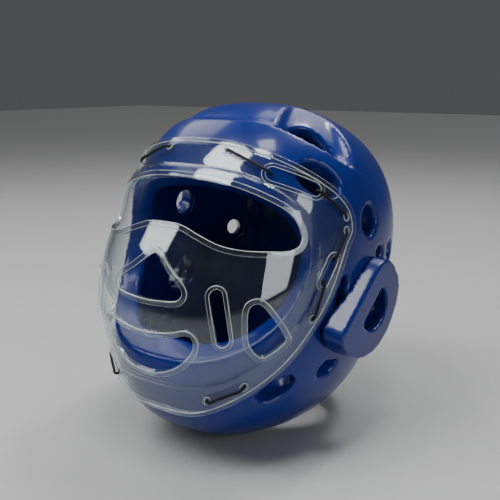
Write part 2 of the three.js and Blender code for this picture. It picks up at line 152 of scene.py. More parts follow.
# Outlines as shares of the named sizes
RIM_SHAPE = [
    (0, 1), (0.21, 0.99), (0.48, 0.955), (0.71, 0.909), (0.87, 0.866), (0.966, 0.809), (1, 0.73),
    (0.973, 0.671), (0.93, 0.5), (0.884, 0.376), (0.78, 0.219), (0.616, 0.104), (0.384, 0.021), (0, 0),
]
EYES_SHAPE = [
    (0, 0.235), (0.15, 0.216), (0.29, 0.12), (0.458, 0.018), (0.604, 0), (0.77, 0.036), (0.924, 0.1),
    (0.984, 0.186), (1, 0.318), (0.917, 0.61), (0.7, 0.8), (0.344, 0.96), (0, 1),
]
NOSE_SHAPE = [
    (0, 1), (0.13, 0.95), (0.32, 0.8), (0.54, 0.625), (0.93, 0.375), (1, 0.26), (0.92, 0.12),
    (0.36, 0.02), (0, 0),
]
MOUTH_SHAPE = [
    (0, 0.78), (0.33, 0.82), (0.62, 0.89), (0.83, 0.99), (0.94, 0.96), (1, 0.84), (0.99, 0.67),
    (0.905, 0.477), (0.71, 0.243), (0.38, 0.058), (0, 0),
]
CHEEK_SHAPE = [
    (0, 0.92), (0.12, 1), (0.25, 0.957), (0.48, 0.786), (0.866, 0.443), (1, 0.27), (0.67, 0.014),
    (0.55, 0), (0.24, 0.214), (0.09, 0.5),
]

# Fineness: the voxels are in millimetres, the width of a seam in metres
FOAM_VOXEL = 2.5
PAD_VOXEL = 1.5
SKIN_PASSES = 5
SEAM = 0.00002
CURVE_STEPS = 24
OVAL_STEPS = 720
PRISM_ROWS = 3
SHEET_ROWS = dict(dome=30, step=4, flange=6)

# How far off its true form a skin is still drawn to it: wholly up to one share, fading over the rest
SNAP_REACH = 0.9
SNAP_WHOLE = 0.45
SNAP_FADE = 0.55

# Over the floor, in metres: the cut under the foam, the lowest its skin may reach, the cutter's depth
GROUND_CUT = 0.0003
GROUND_GAP = 0.0002
GROUND_DEPTH = 0.1

# Colours
FOAM_BLUE = (0.0008, 0.009, 0.115, 1)
FOAM_PALE_BLUE = (0.0014, 0.015, 0.175, 1)
FOAM_WORN = (0.03, 0.09, 0.42, 1)
FOAM_PIT = (0.001, 0.006, 0.08, 1)
SHIELD_CLEAR = (0.965, 0.985, 0.985, 1)
SHIELD_DEEP = (0.10, 0.17, 0.19, 1)
SHIELD_MIRROR = (0.90, 0.94, 0.95, 1)
SHIELD_DUST = (0.55, 0.62, 0.66, 1)
# Pale colour painted along the beads' rounded bends as a highlight
SHIELD_PAINTED_HIGHLIGHT = (0.86, 0.92, 0.94, 1)
CORD_BLACK = (0.002, 0.002, 0.003, 1)
CORD_WORN = (0.012, 0.012, 0.014, 1)
FLOOR_DARK = (0.40, 0.405, 0.40, 1)
FLOOR_PALE = (0.44, 0.44, 0.435, 1)
STUDIO_AIR = (0.80, 0.82, 0.84, 1)
AIR_STRENGTH = 0.10

# Clear finishes: how much each mirrors, darkens on a flat look and lights its bends with a painted
# highlight
SHEET_CLEAR = dict(shine=1.5, edge=0.5)
BEAD_CLEAR = dict(shine=1.2, edge=0.9, painted_edge_glow=0.9)

# Camera at the photo's angle: its place from the middle of the head, and the ways it is turned
CAMERA_PLACE = (376.882, -537.277, 302.608)
CAMERA_BACKWARD = (0.572, -0.788, 0.228)
CAMERA_RIGHT = (0.809, 0.588, 0)
SENSOR_WIDTH = 36
FOCAL_PIXELS = 727
PHOTO_PIXELS = 500

# Soft boxes, all aimed at one point: place, width, height, power and colour
LIGHT_AIM = (0, 0, 0.15)
WHITE = (1, 1, 1)
LIGHTS = dict(
    side_window=((1.45, -0.40, 0.52), 0.75, 0.85, 7.5, (0.97, 0.99, 1)),
    top_box=((-0.44, -0.82, 1.55), 0.85, 0.85, 23, WHITE),
    left_box=((-1.06, 0.20, 1.30), 0.6, 0.6, 4.5, WHITE),
    overhead=((0.20, -0.20, 1.62), 0.34, 0.34, 7, WHITE),
    front_window=((-0.98, -0.86, 0.90), 0.4, 0.4, 4, WHITE),
    back_box=((0.0, 1.0, 1.5), 1.4, 1.0, 13, WHITE),
)
SUN_WAY = (0.12, 0.50, 0.86)
SUN_POWER = 0.75
SUN_WIDTH = math.radians(9)


# The head's form
def smoothstep(value):
    value = np.clip(value, 0, 1)
    return value * value * (3 - 2 * value)


def reach(direction, grow=0.0):
    """Distance from the middle of the head to the shell's outside, grown on every side."""
    x, y, z = (np.abs(direction[..., i]) for i in range(3))
    along = np.where(direction[..., 1] < 0, BROW_REACH, BACK_REACH) + grow
    tall = np.where(direction[..., 2] < 0, CHIN_REACH, CROWN_REACH) + grow
    total = (x / (HALF_WIDTH + grow)) ** FULLNESS + (y / along) ** FULLNESS + (z / tall) ** FULLNESS
    return total ** (-1 / FULLNESS)


def settle(point):
    """Carries the jaw forward and the nape back, the more the lower a point lies."""
    x, y, z = point[..., 0], point[..., 1], point[..., 2]
    low = np.maximum(-z / CHIN_REACH, 0) ** 2
    y = y - JAW_FORWARD * low * np.maximum(0.5 - 0.5 * y / BROW_REACH, 0)
    y = y + NAPE_BACK * low * np.clip(y / BACK_REACH, 0, 1) ** 2
    return np.stack([x, y, z], -1)


def unsettle(point):
    """The way back from settle."""
    x, settled, z = point[..., 0], point[..., 1], point[..., 2]
    low = np.maximum(-z / CHIN_REACH, 0) ** 2
    nape = settled
    for _ in range(24):
        nape = settled - NAPE_BACK * low * np.clip(nape / BACK_REACH, 0, 1) ** 2
    share = JAW_FORWARD * low / 2
    y = (nape + share) / (1 + share / BROW_REACH)
    return np.stack([x, np.where(y < BROW_REACH, y, nape), z], -1)


def towards(across, up):
    turn, rise = np.asarray(across) / ARC_RADIUS, np.asarray(up) / ARC_RADIUS
    level = np.cos(rise)
    return np.stack([level * np.sin(turn), -level * np.cos(turn), np.sin(rise) + 0 * turn], -1)


def over_shell(across, up, grow=0.0, extra=0.0):
    """A point over the shell: across and up are arcs from its front, grow and extra lift it off."""
    direction = towards(across, up)
    return settle(direction * (reach(direction, grow) + extra)[..., None])


def laid(direction):
    """Across and up of a direction from the middle of the head."""
    across = np.arctan2(direction[..., 0], -direction[..., 1]) * ARC_RADIUS
    up = np.arctan2(direction[..., 2], np.hypot(direction[..., 0], direction[..., 1])) * ARC_RADIUS
    return across, up


def at_rest(point):
    """From the upright head to the headgear as it stands, in metres."""
    x, y, z = point[..., 0], point[..., 1], point[..., 2]
    forward = y * math.cos(TILT) + z * math.sin(TILT) + HEAD_BACK
    upward = z * math.cos(TILT) - y * math.sin(TILT) + HEAD_HEIGHT
    return np.stack([x, forward, upward], -1) * MM


def upright(point):
    """The way back from at_rest."""
    x, y, z = point[..., 0] / MM, point[..., 1] / MM - HEAD_BACK, point[..., 2] / MM - HEAD_HEIGHT
    forward = y * math.cos(TILT) - z * math.sin(TILT)
    upward = y * math.sin(TILT) + z * math.cos(TILT)
    return np.stack([x, forward, upward], -1)


def oval_share(oval, across, up):
    tall = np.where(up > oval["level"], oval["rise"], oval["drop"])
    total = np.abs(across / oval["half_width"]) ** oval["fullness"]
    total = total + np.abs((up - oval["level"]) / tall) ** oval["fullness"]
    return total ** (1 / oval["fullness"])


def shield_lift(across, up):
    """The step at the shield's shoulder, then the muzzle's bulge."""
    share = oval_share(SHOULDER, across, up)
    step = smoothstep((1 + SHOULDER_BLEND / 2 - share) / SHOULDER_BLEND)
    crown = np.exp(-((up - BULGE_LEVEL) / BULGE_SPREAD) ** 2)
    return SHIELD_STEP * step + SHIELD_BULGE * crown * np.clip(1 - share ** 3, 0, 1)


def on_shield(across, up, height):
    return over_shell(across, up, SHIELD_SEAT + height, shield_lift(across, up))


def band_relief(across, up):
    """The crown panel lies lower just behind the brow band and rises again further back."""
    across = np.abs(across)
    behind = up - np.interp(across, BAND_EDGE["across"], BAND_EDGE["up"])
    side = 1 - BAND_SIDE["loss"] * smoothstep((across - BAND_SIDE["start"]) / BAND_SIDE["length"])
    side = side * (1 - smoothstep((across - BAND_SIDE["close"]) / BAND_SIDE["close_length"]))
    fade = np.exp(-np.maximum(behind, 0) / BAND_FADE)
    return -BAND_STEP * side * smoothstep(behind / BAND_FOOT) * fade


def scoop_place(across, up):
    """Where a point lies along the scoop's wall, and how far behind it."""
    turn = math.radians(SCOOP["turn"])
    x, y = np.abs(across) - SCOOP["across"], up - SCOOP["up"]
    return x * math.cos(turn) + y * math.sin(turn), y * math.cos(turn) - x * math.sin(turn)


def scoop_floor(across, up):
    along, behind = scoop_place(across, up)
    share = np.abs(along / SCOOP["half_length"]) ** SCOOP["end"]
    share = share + (np.maximum(behind, 0) / SCOOP["width"]) ** SCOOP["rise"]
    return -SCOOP["depth"] * np.maximum(1 - share, 0) ** SCOOP["fade"]


def outer_relief(across, up):
    behind = scoop_place(across, up)[1]
    return np.where(behind > 0, scoop_floor(across, up), 0) + band_relief(across, up)


# Outlines, as lists of across and up, anticlockwise seen from outside
def anticlockwise(points):
    x, y = points[:, 0], points[:, 1]
    area = np.sum(x * np.roll(y, -1) - np.roll(x, -1) * y)
    return points if area > 0 else points[::-1]


def smooth_loop(points, count):
    """A closed centripetal curve through the points, in even steps."""
    points = np.asarray(points, float)
    size = len(points)
    fine = []
    for index in range(size):
        p = [points[(index + k) % size] for k in (-1, 0, 1, 2)]
        t = np.cumsum([0] + [max(np.linalg.norm(p[k + 1] - p[k]), 1e-6) ** 0.5 for k in range(3)])
        s = np.linspace(t[1], t[2], CURVE_STEPS, endpoint=False)[:, None]

        def between(low, high, first, second):
            return (high - s) / (high - low) * first + (s - low) / (high - low) * second

        a = [between(t[k], t[k + 1], p[k], p[k + 1]) for k in range(3)]
        b = [between(t[k], t[k + 2], a[k], a[k + 1]) for k in range(2)]
        fine.append(between(t[1], t[2], b[0], b[1]))
    return even_loop(np.concatenate(fine), count)


def even_loop(fine, count):
    closed = np.vstack([fine, fine[:1]])
    length = np.concatenate([[0], np.cumsum(np.linalg.norm(np.diff(closed, axis=0), axis=1))])
    steps = np.linspace(0, length[-1], count, endpoint=False)
    return anticlockwise(np.stack([np.interp(steps, length, closed[:, i]) for i in range(2)], -1))


def symmetric_loop(shape, size, count):
    left = [(side * size["half_width"], size["bottom"] + level * size["height"])
            for side, level in shape]
    right = [(-across, up) for across, up in reversed(left[1:-1])]
    return smooth_loop(left + right, count)


def cheek_loop(count):
    points = [(CHEEK["inner"] + side * CHEEK["width"], CHEEK["bottom"] + level * CHEEK["height"])
              for side, level in CHEEK_SHAPE]
    return smooth_loop(points, count)


def turned(points, place):
    turn = math.radians(place["turn"])
    x, y = points[:, 0], points[:, 1]
    across = place["across"] + x * math.cos(turn) - y * math.sin(turn)
    up = place["up"] + x * math.sin(turn) + y * math.cos(turn)
    return np.stack([across, up], -1)


def round_loop(hole, count):
    angle = np.linspace(0, 2 * np.pi, count, endpoint=False)
    points = np.stack([hole["width"] / 2 * np.cos(angle), hole["height"] / 2 * np.sin(angle)], -1)
    return turned(points, hole)


def slot_loop(slot, count):
    radius = slot["width"] / 2
    half = slot["length"] / 2 - radius
    angle = np.linspace(-np.pi / 2, np.pi / 2, CURVE_STEPS)
    end = np.stack([half + radius * np.cos(angle), radius * np.sin(angle)], -1)
    return turned(even_loop(np.vstack([end, -end]), count), slot)


def oval_loop(oval, count):
    angle = np.linspace(0, 2 * np.pi, OVAL_STEPS, endpoint=False)
    edge = oval_share(oval, np.cos(angle), oval["level"] + np.sin(angle))
    fine = np.stack([np.cos(angle) / edge, oval["level"] + np.sin(angle) / edge], -1)
    return even_loop(fine, count)


# Modelling helpers
def even_rows(first, last, count):
    return first + (last - first) * (np.arange(count) + 1) / count


def nearest_step(share, count):
    return np.clip(np.rint(share * count).astype(int), 0, count)


def only(piece):
    bpy.ops.object.select_all(action="DESELECT")
    piece.select_set(True)
    bpy.context.view_layer.objects.active = piece


def shape_mesh(piece, place):
    """Moves every vertex of a piece to where place says; place takes and gives rows of x, y, z."""
    mesh = piece.data
    points = np.empty(len(mesh.vertices) * 3)
    mesh.vertices.foreach_get("co", points)
    mesh.vertices.foreach_set("co", place(points.reshape(-1, 3)).ravel())
    mesh.update()


def close_seams(piece, distance=SEAM):
    only(piece)
    bpy.ops.object.mode_set(mode="EDIT")
    bpy.ops.mesh.select_all(action="SELECT")
    bpy.ops.mesh.remove_doubles(threshold=distance)
    bpy.ops.mesh.normals_make_consistent(inside=False)
    bpy.ops.object.mode_set(mode="OBJECT")


def web(name, columns, rows, place, bend=None):
    """A grid primitive whose points go where place puts them.

    place takes a point's shares along and across the grid, and bend gives each point its mark.
    """
    bpy.ops.object.select_all(action="DESELECT")
    bpy.ops.mesh.primitive_grid_add(x_subdivisions=columns, y_subdivisions=rows, size=1)
    piece = bpy.context.object
    piece.name = piece.data.name = name

    def put(points):
        shares = points[:, 0] + 0.5, points[:, 1] + 0.5
        if bend:
            marks = piece.data.attributes.new("bend", "FLOAT", "POINT")
            marks.data.foreach_set("value", bend(*shares))
        return place(*shares)

    shape_mesh(piece, put)
    return piece


def layered(name, outline, middle, shares, lower, upper):
    """A closed body over an outline: a sheet at the lower layer, extruded to the upper one.

    shares are the rings' places from the middle to the outline, one row for all or one a point.
    """
    count = len(outline)
    outline = np.vstack([outline, outline[:1]])
    ways = np.broadcast_to(shares, (count, np.shape(shares)[-1]))
    ways = np.hstack([np.zeros((count, 1)), ways])
    ways = np.vstack([ways, ways[:1]])
    steps = ways.shape[1] - 1

    def lay(around, out):
        column = nearest_step(around, count)
        share = ways[column, nearest_step(out, steps)][:, None]
        spot = np.asarray(middle) + (outline[column] - np.asarray(middle)) * share
        return at_rest(lower(spot[:, 0], spot[:, 1]))

    piece = web(name, count, steps, lay)
    only(piece)
    bpy.ops.object.mode_set(mode="EDIT")
    bpy.ops.mesh.select_all(action="SELECT")
    bpy.ops.mesh.remove_doubles(threshold=SEAM)
    bpy.ops.mesh.extrude_region_move()
    bpy.ops.object.mode_set(mode="OBJECT")
    lifted = np.array([vertex.select for vertex in piece.data.vertices])

    def lift(points):
        low = upright(points[lifted])
        across, up = laid(unsettle(low))
        points[lifted] = at_rest(upper(across, up))
        return points

    shape_mesh(piece, lift)
    close_seams(piece)
    return piece


def plug(name, outline, deep, proud, middle=None, rings=3, flare=1.0):
    """A cutter that points at the middle of the head; flare widens its deep end."""
    middle = np.array(outline.mean(0) if middle is None else middle)

    def layer(widening, height):
        def place(across, up):
            wide = middle[0] + (across - middle[0]) * widening
            tall = middle[1] + (up - middle[1]) * widening
            return over_shell(wide, tall, 0, height)
        return place

    lower, upper = layer(flare, -deep), layer(1 / flare, proud)
    return layered(name, outline, middle, even_rows(0, 1, rings), lower, upper)


def head_ball(name, segments, grow, relief=None):
    """The head's form as a closed body, grown on every side, with relief added where it is given."""
    bpy.ops.object.select_all(action="DESELECT")
    bpy.ops.mesh.primitive_uv_sphere_add(segments=segments, ring_count=segments // 2, radius=1)
    piece = bpy.context.object
    piece.name = piece.data.name = name

    def place(points):
        direction = points / np.linalg.norm(points, axis=1)[:, None]
        distance = reach(direction, grow)
        if relief:
            distance = distance + relief(*laid(direction))
        return at_rest(settle(direction * distance[:, None]))

    shape_mesh(piece, place)
    return piece


def twin(piece, name):
    """The same piece for the wearer's right."""
    copy = piece.copy()
    copy.data = piece.data.copy()
    copy.name = copy.data.name = name
    bpy.context.collection.objects.link(copy)
    shape_mesh(copy, lambda points: points * np.array([-1, 1, 1]))
    only(copy)
    bpy.ops.object.mode_set(mode="EDIT")
    bpy.ops.mesh.select_all(action="SELECT")
    bpy.ops.mesh.flip_normals()
    bpy.ops.object.mode_set(mode="OBJECT")
    return copy


def apply_modifier(piece, kind, **settings):
    only(piece)
    modifier = piece.modifiers.new(kind.title(), kind)
    for key, value in settings.items():
        setattr(modifier, key, value)
    bpy.ops.object.modifier_apply(modifier=modifier.name)


def cut(piece, cutters, operation="DIFFERENCE"):
    for cutter in cutters:
        apply_modifier(piece, "BOOLEAN", object=cutter, operation=operation, solver="EXACT")
    for cutter in cutters:
        bpy.data.objects.remove(cutter)


def even_skin(piece, voxel):
    """One even skin over a cut body, smoothed so that its edges round as dipping rounds them."""
    apply_modifier(piece, "REMESH", mode="VOXEL", voxel_size=voxel * MM, adaptivity=0)
    apply_modifier(piece, "SMOOTH", factor=0.5, iterations=SKIN_PASSES)


def coat(piece, finish):
    piece.data.materials.clear()
    piece.data.materials.append(finish)


def smooth_shade(piece, angle=None):
    only(piece)
    if angle is None:
        bpy.ops.object.shade_smooth()
    else:
        bpy.ops.object.shade_smooth_by_angle(angle=math.radians(angle))


# Shader maths
class Signal:
    """A value that varies over a surface; arithmetic on it adds nodes."""

    def __init__(self, paint, socket):
        self.paint, self.socket = paint, socket

    def math(self, operation, *others):
        values = {index: value for index, value in enumerate((self,) + others)}
        return self.paint.node("Math", dict(operation=operation), values)

    def __add__(self, other):
        return self.math("ADD", other)

    def __radd__(self, other):
        return self.math("ADD", other)

    def __sub__(self, other):
        return self.math("SUBTRACT", other)

    def __rsub__(self, other):
        return self.paint.node("Math", dict(operation="SUBTRACT"), {0: other, 1: self})

    def __mul__(self, other):
        return self.math("MULTIPLY", other)

    def __rmul__(self, other):
        return self.math("MULTIPLY", other)

    def __pow__(self, other):
        return self.math("POWER", other)

    def above(self, low, high):
        """0 below low, 1 above high, soft between."""
        inputs = {"Value": self, "From Min": low, "From Max": high}
        return self.paint.node("MapRange", dict(interpolation_type="SMOOTHSTEP"), inputs)


class Paint:
    """A material and its nodes."""

    def __init__(self, name):
        self.material = bpy.data.materials.new(name)
        self.material.use_nodes = True
        self.tree = self.material.node_tree
        self.tree.nodes.clear()

    def node(self, kind, settings=None, inputs=None, output=0):
        node = self.tree.nodes.new("ShaderNode" + kind)
        for key, value in (settings or {}).items():
            setattr(node, key, value)
        for key, value in (inputs or {}).items():
            if isinstance(value, Signal):
                self.tree.links.new(value.socket, node.inputs[key])
            else:
                node.inputs[key].default_value = value
        return Signal(self, node.outputs[output])

    def position(self):
        return self.node("TexCoord", output="Object")

    def noise(self, scale, detail=2.0, roughness=0.5, vector=None):
        inputs = {"Scale": scale, "Detail": detail, "Roughness": roughness}
        inputs["Vector"] = vector or self.position()
        return self.node("TexNoise", inputs=inputs, output="Fac")

    def blend(self, factor, first, second):
        """A colour between two others."""
        settings = dict(data_type="RGBA", clamp_factor=True)
        return self.node("Mix", settings, {"Factor": factor, 6: first, 7: second}, output=2)

    def bump(self, height, strength, distance):
        inputs = {"Height": height, "Strength": strength, "Distance": distance * MM}
        return self.node("Bump", inputs=inputs)

    def mix(self, factor, first, second):
        """A surface between two others."""
        return self.node("MixShader", inputs={0: factor, 1: first, 2: second})

    def finish(self, surface):
        output = self.tree.nodes.new("ShaderNodeOutputMaterial")
        self.tree.links.new(surface.socket, output.inputs["Surface"])
        return self.material


def foam_finish():
    """Closed-cell foam with a glossy dipped skin: faint orange peel, a few pits, soft scuffs."""
    paint = Paint("dipped_foam")
    spot = paint.position()
    drift = paint.noise(9, 3, vector=spot)
    peel = paint.noise(620, 2, vector=spot)
    swell = paint.noise(38, 2, vector=spot)
    scuffs = paint.noise(70, 6, 0.7, vector=spot).above(0.58, 0.76)
    pits = paint.noise(520, 1, vector=spot).above(0.72, 0.80)
    blue = paint.blend(drift.above(0.3, 0.7), FOAM_BLUE, FOAM_PALE_BLUE)
    worn = paint.blend(scuffs * 0.10, blue, FOAM_WORN)
    colour = paint.blend(pits * 0.35, worn, FOAM_PIT)
    height = peel * 0.45 + swell * 0.8 - pits * 0.4
    surface = paint.node("BsdfPrincipled", inputs={
        "Base Color": colour,
        "Roughness": drift * 0.10 + scuffs * 0.12 + 0.27,
        "Specular IOR Level": 0.18,
        "Coat Weight": 0.42,
        "Coat Roughness": 0.12,
        "Coat IOR": 1.45,
        "Normal": paint.bump(height, 0.5, 0.5),
    })
    return paint.finish(surface)


def clear_finish(name, shine, edge, painted_edge_glow=0.0):
    """Clear polycarbonate: it mirrors more, and darkens, the flatter the look over it.

    shine is how much it mirrors, edge how much it darkens, and the last how strongly a painted
    highlight lights its rounded edges.
    """
    paint = Paint(name)
    haze = paint.noise(45, 4, 0.6).above(0.45, 0.75)
    scratches = paint.noise(26, 8, 0.75).above(0.60, 0.66)
    slant = paint.node("LayerWeight", inputs={"Blend": 0.5}, output="Facing")
    clear = paint.node("BsdfTransparent", inputs={"Color": SHIELD_CLEAR})
    thick = paint.node("BsdfTransparent", inputs={"Color": SHIELD_DEEP})
    mirror = paint.node("BsdfPrincipled", inputs={
        "Base Color": SHIELD_MIRROR,
        "Metallic": 1.0,
        "Roughness": haze * 0.04 + 0.02,
    })
    dust = paint.node("BsdfPrincipled", inputs={"Base Color": SHIELD_DUST, "Roughness": 0.6})
    # Painted highlight: a pale surface laid where the beads bend, standing in for the light they catch
    painted_highlight = paint.node("BsdfPrincipled", inputs={"Base Color": SHIELD_PAINTED_HIGHLIGHT, "Roughness": 0.25})
    through = paint.mix(slant ** 4.0 * edge, clear, thick)
    shiny = paint.mix((slant ** 5.0 * 0.9 + 0.04) * shine, through, mirror)
    dusty = paint.mix(haze * 0.006 + scratches * 0.012 + 0.002, shiny, dust)
    bend = paint.node("Attribute", dict(attribute_name="bend"), output="Fac")
    return paint.finish(paint.mix(bend * (haze * 0.5 + 0.5) * painted_edge_glow, dusty, painted_highlight))


def cord_finish():
    """Black braided elastic."""
    paint = Paint("braided_elastic")
    bands = dict(wave_type="BANDS", bands_direction="DIAGONAL")
    inputs = {"Scale": 9.0, "Distortion": 0.4, "Detail": 1.0}
    inputs["Vector"] = paint.node("TexCoord", output="UV")
    strands = paint.node("TexWave", bands, inputs, output="Fac")
    surface = paint.node("BsdfPrincipled", inputs={
        "Base Color": paint.blend(strands, CORD_BLACK, CORD_WORN),
        "Roughness": 0.5,
        "Specular IOR Level": 0.2,
        "Normal": paint.bump(strands, 0.6, 0.25),
    })
    return paint.finish(surface)


def floor_finish():
    paint = Paint("studio_floor")
    colour = paint.blend(paint.noise(60, 3), FLOOR_DARK, FLOOR_PALE)
    surface = paint.node("BsdfPrincipled", inputs={"Base Color": colour, "Roughness": 0.55})
    return paint.finish(surface)


# Foam shell
def ear_body(name, size, low, high, count, draft=0):
    """A straight-fronted D along the axis through both ears.

    draft sets the front of its low end further forward.
    """
    middle, half, front = size["middle"], size["half_length"], size["front"]
    angle = np.linspace(np.pi, 0, 73)
    corners = size["top_corner"] * (1 + np.cos(angle)) + size["low_corner"] * (1 - np.cos(angle))
    shoulder = front - corners / 2
    bow = np.stack([middle + half * np.cos(angle) + size["lean"] * np.sin(angle),
                    shoulder - (size["round"] + shoulder) * np.sin(angle)], -1)
    share = np.linspace(0, 1, 16)[:, None]

    def bend(start, knee, end):
        start, knee, end = np.array(start), np.array(knee), np.array(end)
        return (1 - share) ** 2 * start + 2 * share * (1 - share) * knee + share ** 2 * end

    top, low_end = middle + half, middle - half
    top_bend = bend((top, front - size["top_corner"]), (top, front), (top - size["top_corner"], front))
    low_start, low_stop = (low_end + size["low_corner"], front), (low_end, front - size["low_corner"])
    low_bend = bend(low_start, (low_end, front), low_stop)
    loop = even_loop(np.vstack([bow, top_bend[1:], low_bend[:-1]]), count)
    loop = np.vstack([loop, loop[:1]])

    def place(around, along):
        column = nearest_step(around, count)
        level = np.clip(along * PRISM_ROWS - 1, 0, 1)
        closing = np.where((along < 0.01) | (along > 0.99), 0, 1)[:, None]
        spot = np.array([middle, 0]) * (1 - closing) + loop[column] * closing
        t, f = spot[:, 0], spot[:, 1] + draft * (1 - level) * np.clip(spot[:, 1] / front, 0, 1)
        turn = PAD["turn"]
        side = low + (high - low) * level
        back = PAD["back"] + t * math.cos(turn) - f * math.sin(turn)
        up = PAD["up"] + t * math.sin(turn) + f * math.cos(turn)
        return at_rest(np.stack([side, back, up], -1))

    piece = web(name, count, PRISM_ROWS, place)
    close_seams(piece)
    return piece


def ear_way():
    return ear_body("ear_way", EAR_HOLE, HALF_WIDTH / 2 - FOAM_WALL, PAD_FACE + FOAM_WALL, 72)


def scoop_cutter():
    angle = np.linspace(0, np.pi, 61)
    along = np.cos(angle)
    rise = (1 - np.abs(along) ** SCOOP["end"]) ** (1 / SCOOP["rise"])
    wall = np.stack([np.linspace(-1, 1, 31)[1:-1], np.zeros(29)], -1)
    edge = np.vstack([np.stack([along, rise], -1), wall]) * [SCOOP["half_length"], SCOOP["width"]]
    outline = even_loop(turned(edge, SCOOP), 120)
    middle = turned(np.array([[0, SCOOP["width"] / 3]]), SCOOP)[0]
    return layered("scoop", outline, middle, even_rows(0, 1, 14),
                   lambda across, up: over_shell(across, up, 0, scoop_floor(across, up)),
                   lambda across, up: over_shell(across, up, 0, SCOOP["depth"]))


def scoop_vent():
    angle = np.linspace(0, np.pi, 41)
    crescent = np.stack([SCOOP_VENT["half_length"] * np.cos(angle),
                         SCOOP_VENT["width"] * np.sin(angle)], -1)
    outline = even_loop(turned(crescent, SCOOP), 64)
    return plug("scoop_vent", outline, 2 * FOAM_WALL, 0, flare=SCOOP_VENT["flare"])


def neck_cutter():
    def place(around, along):
        angle = 2 * np.pi * around
        level = np.clip(along * PRISM_ROWS - 1, 0, 1)
        closing = (along > 0.01) & (along < 0.99)
        x = NECK["half_width"] * np.cos(angle) * closing
        y = NECK["half_length"] * np.sin(angle) * closing - NECK["forward"] + HEAD_BACK
        return np.stack([x, y, NECK["low"] + (NECK["high"] - NECK["low"]) * level], -1) * MM

    piece = web("neck", 96, PRISM_ROWS, place)
    close_seams(piece)
    return piece


def ground_cutter():
    bpy.ops.object.select_all(action="DESELECT")
    bpy.ops.mesh.primitive_cube_add(size=1)
    piece = bpy.context.object
    size = np.array([0.5, 0.5, GROUND_DEPTH])
    middle = np.array([0, 0, GROUND_CUT - GROUND_DEPTH / 2])
    shape_mesh(piece, lambda points: points * size + middle)
    return piece


def snap_to_form(piece):
    """Lays the even stretches of the skin on the true form and leaves the rounded edges as they are."""
    def place(points):
        inner = unsettle(upright(points))
        distance = np.linalg.norm(inner, axis=1)
        direction = inner / distance[:, None]
        across, up = laid(direction)
        target = distance.copy()
        for goal in (reach(direction) + outer_relief(across, up), reach(direction, -FOAM_WALL)):
            gap = goal - distance
            beyond = (np.abs(gap) - SNAP_REACH * SNAP_WHOLE) / (SNAP_REACH * SNAP_FADE)
            target = target + gap * (1 - smoothstep(beyond))
        moved = at_rest(settle(direction * target[:, None]))
        moved[:, 2] = np.maximum(moved[:, 2], GROUND_GAP)
        return moved

    shape_mesh(piece, place)


def make_foam_shell(finish):
    shell = head_ball("foam_body", 240, 0, band_relief)
    cut(shell, [head_ball("lining", 160, -FOAM_WALL)])
    face_middle = (0, FACE["level"])
    cutters = [plug("face", oval_loop(FACE, 144), 3 * FOAM_WALL, 2 * FOAM_WALL, face_middle, 8)]
    cutters += [neck_cutter(), ground_cutter()]
    side = [plug("vent", round_loop(hole, 40), hole["deep"], FOAM_WALL, flare=hole["flare"])
            for hole in FOAM_HOLES]
    side += [plug("foam_slot", slot_loop(slot, 48), 2 * FOAM_WALL, FOAM_WALL) for slot in FOAM_SLOTS]
    side += [scoop_cutter(), scoop_vent(), ear_way()]
    cutters += side + [twin(cutter, cutter.name + "_right") for cutter in side]
    cut(shell, cutters)
    even_skin(shell, FOAM_VOXEL)
    snap_to_form(shell)
    smooth_shade(shell)
    coat(shell, finish)
    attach(shell, "root")
    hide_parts("foam_shell")
    return shell


def make_ear_pads(finish):
    pad = ear_body("ear_cushion_left", PAD_SHAPE, PAD_FACE - PAD_THICKNESS, PAD_FACE, 120, PAD_DRAFT)
    foot_shape = {name: value * FOOT_SHARE for name, value in PAD_SHAPE.items()}
    foot = ear_body("foot", foot_shape, HALF_WIDTH / 2, PAD_FACE - PAD_THICKNESS / 2, 90)
    cut(pad, [foot], "UNION")
    cut(pad, [head_ball("seat", 200, PAD_SEAT), ear_way()])
    even_skin(pad, PAD_VOXEL)
    smooth_shade(pad)
    coat(pad, finish)
    for piece, name in ((pad, "ear_pad_left"), (twin(pad, "ear_cushion_right"), "ear_pad_right")):
        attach(piece, "root")
        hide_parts(name)


# Face shield
def set_sheet_normals(sheet):
    """Gives the sheet's two sides the normals of its true form and leaves its cut edges flat."""
    mesh = sheet.data
    points = np.empty(len(mesh.vertices) * 3)
    mesh.vertices.foreach_get("co", points)
    across, up = laid(unsettle(upright(points.reshape(-1, 3))))
    near = 0.4
    sides = [at_rest(on_shield(across + x, up + y, 1))
             for x, y in ((near, 0), (-near, 0), (0, near), (0, -near))]
    true = np.cross(sides[0] - sides[1], sides[2] - sides[3])
    true = true / np.linalg.norm(true, axis=1)[:, None]
    corner = np.empty(len(mesh.loops), int)
    mesh.loops.foreach_get("vertex_index", corner)
    totals = np.empty(len(mesh.polygons), int)
    mesh.polygons.foreach_get("loop_total", totals)
    faces = np.empty(len(mesh.polygons) * 3)
    mesh.polygons.foreach_get("normal", faces)
    own = np.repeat(faces.reshape(-1, 3), totals, axis=0)
    lean = np.sum(own * true[corner], 1)[:, None]
    on_side = np.abs(lean) > math.cos(SHEET_LEAN)
    mesh.normals_split_custom_set(np.where(on_side, np.sign(lean) * true[corner], own).tolist())


def mirrored_loop(loop):
    return anticlockwise(loop * np.array([-1, 1]))


def eyelet_loop(across, up, count):
    size = 2 * EYELET_RADIUS
    return round_loop(dict(across=across, up=up, width=size, height=size, turn=0), count)


